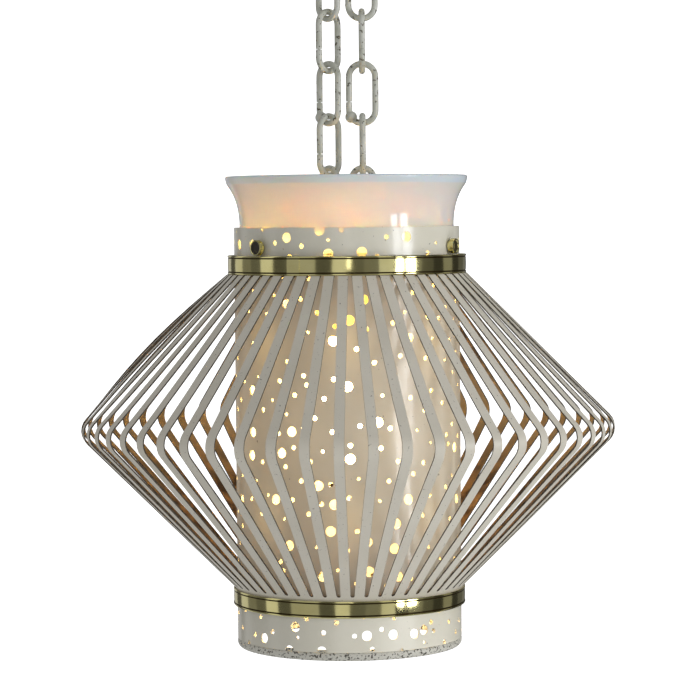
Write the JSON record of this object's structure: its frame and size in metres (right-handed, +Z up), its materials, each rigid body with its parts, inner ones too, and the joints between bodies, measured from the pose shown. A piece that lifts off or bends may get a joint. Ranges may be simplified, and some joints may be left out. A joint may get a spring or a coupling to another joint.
{
  "type": "pendant light",
  "caption": "Pendant light: perforated white drum in a flared cage of bent steel strips, opal glass collar, brass bands and twin short chains to a ceiling canopy.",
  "frame": {"origin": "centre of the mounting strap's top face, in the plane of the ceiling", "axes": "+Z up into the ceiling, +X to the right of the two chains seen from the front, -Y towards the viewer"},
  "size_m": [0.3526, 0.3526, 0.4857],
  "materials": {
    "painted_sheet": "aged off-white enamel paint, satin, lightly worn",
    "chain_paint": "off-white paint, worn at the edges",
    "polished_brass": "polished, lightly tarnished",
    "plated_steel": "zinc plated",
    "opal_glass": "glossy opal",
    "porcelain": "unglazed porcelain",
    "black_plastic": "moulded, matt",
    "bulb_glass": "frosted, lit warm white",
    "stem_glass": "clear",
    "bulb_metal": "bright rolled",
    "tungsten": "hot tungsten wire"
  },
  "bodies": {
    "ceiling_fitting": {"ceiling_strap": "plated_steel", "canopy": "painted_sheet", "top_eye_left": "chain_paint", "top_nut_left": "plated_steel", "top_eye_right": "chain_paint", "top_nut_right": "plated_steel"},
    "right_link_1": {"link_right_1": "chain_paint"},
    "right_link_2": {"link_right_2": "chain_paint"},
    "right_link_3": {"link_right_3": "chain_paint"},
    "right_link_4": {"link_right_4": "chain_paint"},
    "left_link_1": {"link_left_1": "chain_paint"},
    "left_link_2": {"link_left_2": "chain_paint"},
    "left_link_3": {"link_left_3": "chain_paint"},
    "left_link_4": {"link_left_4": "chain_paint"},
    "fixture": {"bottom_eye_left": "chain_paint", "bottom_nut_left": "plated_steel", "bottom_eye_right": "chain_paint", "bottom_nut_right": "plated_steel", "hanger_bar": "plated_steel", "stem_tube": "plated_steel", "cord_bushing": "black_plastic", "bar_nut": "plated_steel", "spider_nut_top": "plated_steel", "spider_nut_bottom": "plated_steel", "spider": "plated_steel", "drum": "painted_sheet", "foot_hoop": "painted_sheet", "cage": "painted_sheet", "upper_band": "polished_brass", "lower_band": "polished_brass", "cage_spacer_1": "plated_steel", "cage_spacer_2": "plated_steel", "cage_spacer_3": "plated_steel", "upper_rivet_1": "plated_steel", "upper_rivet_2": "plated_steel", "upper_rivet_3": "plated_steel", "lower_rivet_1": "plated_steel", "lower_rivet_2": "plated_steel", "lower_rivet_3": "plated_steel", "thumb_boss_1": "polished_brass", "thumb_boss_2": "polished_brass", "thumb_boss_3": "polished_brass", "holder_cap": "polished_brass", "holder_shell": "polished_brass", "holder_core": "porcelain", "holder_thread": "polished_brass", "holder_contact": "polished_brass"},
    "collar": {"collar": "opal_glass"},
    "bulb": {"bulb_glass": "bulb_glass", "bulb_cap": "bulb_metal", "bulb_insulator": "black_plastic", "bulb_tip": "bulb_metal", "bulb_stem": "stem_glass", "filament": "tungsten"},
    "thumb_screw_1": {"thumb_screw_1": "polished_brass"},
    "thumb_screw_2": {"thumb_screw_2": "polished_brass"},
    "thumb_screw_3": {"thumb_screw_3": "polished_brass"}
  },
  "joints": [
    {"name": "right_swing_top", "type": "hinge", "parent": "ceiling_fitting", "child": "right_link_1", "pos_m": [0.011, 0, -0.0341], "axis": [1, 0, 0], "range_deg": [-20, 20]},
    {"name": "right_sway", "type": "hinge", "parent": "right_link_1", "child": "right_link_2", "pos_m": [0.011, 0, -0.0683], "axis": [0, 1, 0], "range_deg": [-20, 20]},
    {"name": "right_sway_back", "type": "hinge", "parent": "right_link_2", "child": "right_link_3", "pos_m": [0.011, 0, -0.10725], "axis": [0, 1, 0], "range_deg": [-20, 20]},
    {"name": "right_swing_middle", "type": "hinge", "parent": "right_link_3", "child": "right_link_4", "pos_m": [0.011, 0, -0.14145], "axis": [1, 0, 0], "range_deg": [-20, 20]},
    {"name": "left_swing_top", "type": "hinge", "parent": "ceiling_fitting", "child": "left_link_1", "pos_m": [-0.011, 0, -0.0341], "axis": [1, 0, 0], "range_deg": [-20, 20]},
    {"name": "left_sway", "type": "hinge", "parent": "left_link_1", "child": "left_link_2", "pos_m": [-0.011, 0, -0.0683], "axis": [0, 1, 0], "range_deg": [-20, 20]},
    {"name": "left_sway_back", "type": "hinge", "parent": "left_link_2", "child": "left_link_3", "pos_m": [-0.011, 0, -0.10725], "axis": [0, 1, 0], "range_deg": [-20, 20]},
    {"name": "left_swing_middle", "type": "hinge", "parent": "left_link_3", "child": "left_link_4", "pos_m": [-0.011, 0, -0.14145], "axis": [1, 0, 0], "range_deg": [-20, 20]},
    {"name": "swing_bottom", "type": "hinge", "parent": "right_link_4", "child": "fixture", "pos_m": [0.011, 0, -0.1709], "axis": [1, 0, 0], "range_deg": [-20, 20]},
    {"name": "collar_lift", "type": "slide", "parent": "fixture", "child": "collar", "axis": [0, 0, 1], "range_m": [0, 0.06]},
    {"name": "bulb_withdraw", "type": "slide", "parent": "fixture", "child": "bulb", "axis": [0, 0, -1], "range_m": [0, 0.245]},
    {"name": "thumb_screw_1_turn", "type": "hinge", "parent": "fixture", "child": "thumb_screw_1", "pos_m": [-0.05751, -0.0527, -0.22235], "axis": [-0.7373, -0.6756, 0], "range_deg": [0, 1080]},
    {"name": "thumb_screw_2_turn", "type": "hinge", "parent": "fixture", "child": "thumb_screw_2", "pos_m": [0.0695, -0.03541, -0.22235], "axis": [0.891, -0.454, 0], "range_deg": [0, 1080]},
    {"name": "thumb_screw_3_turn", "type": "hinge", "parent": "fixture", "child": "thumb_screw_3", "pos_m": [-0.01052, 0.07729, -0.22235], "axis": [-0.1349, 0.9909, 0], "range_deg": [0, 1080]}
  ],
  "couplings": [
    {"joint": "right_sway_back", "follows": "right_sway", "ratio": -1},
    {"joint": "left_swing_top", "follows": "right_swing_top", "ratio": 1},
    {"joint": "left_sway", "follows": "right_sway", "ratio": 1},
    {"joint": "left_sway_back", "follows": "right_sway", "ratio": -1},
    {"joint": "left_swing_middle", "follows": "right_swing_middle", "ratio": 1}
  ]
}
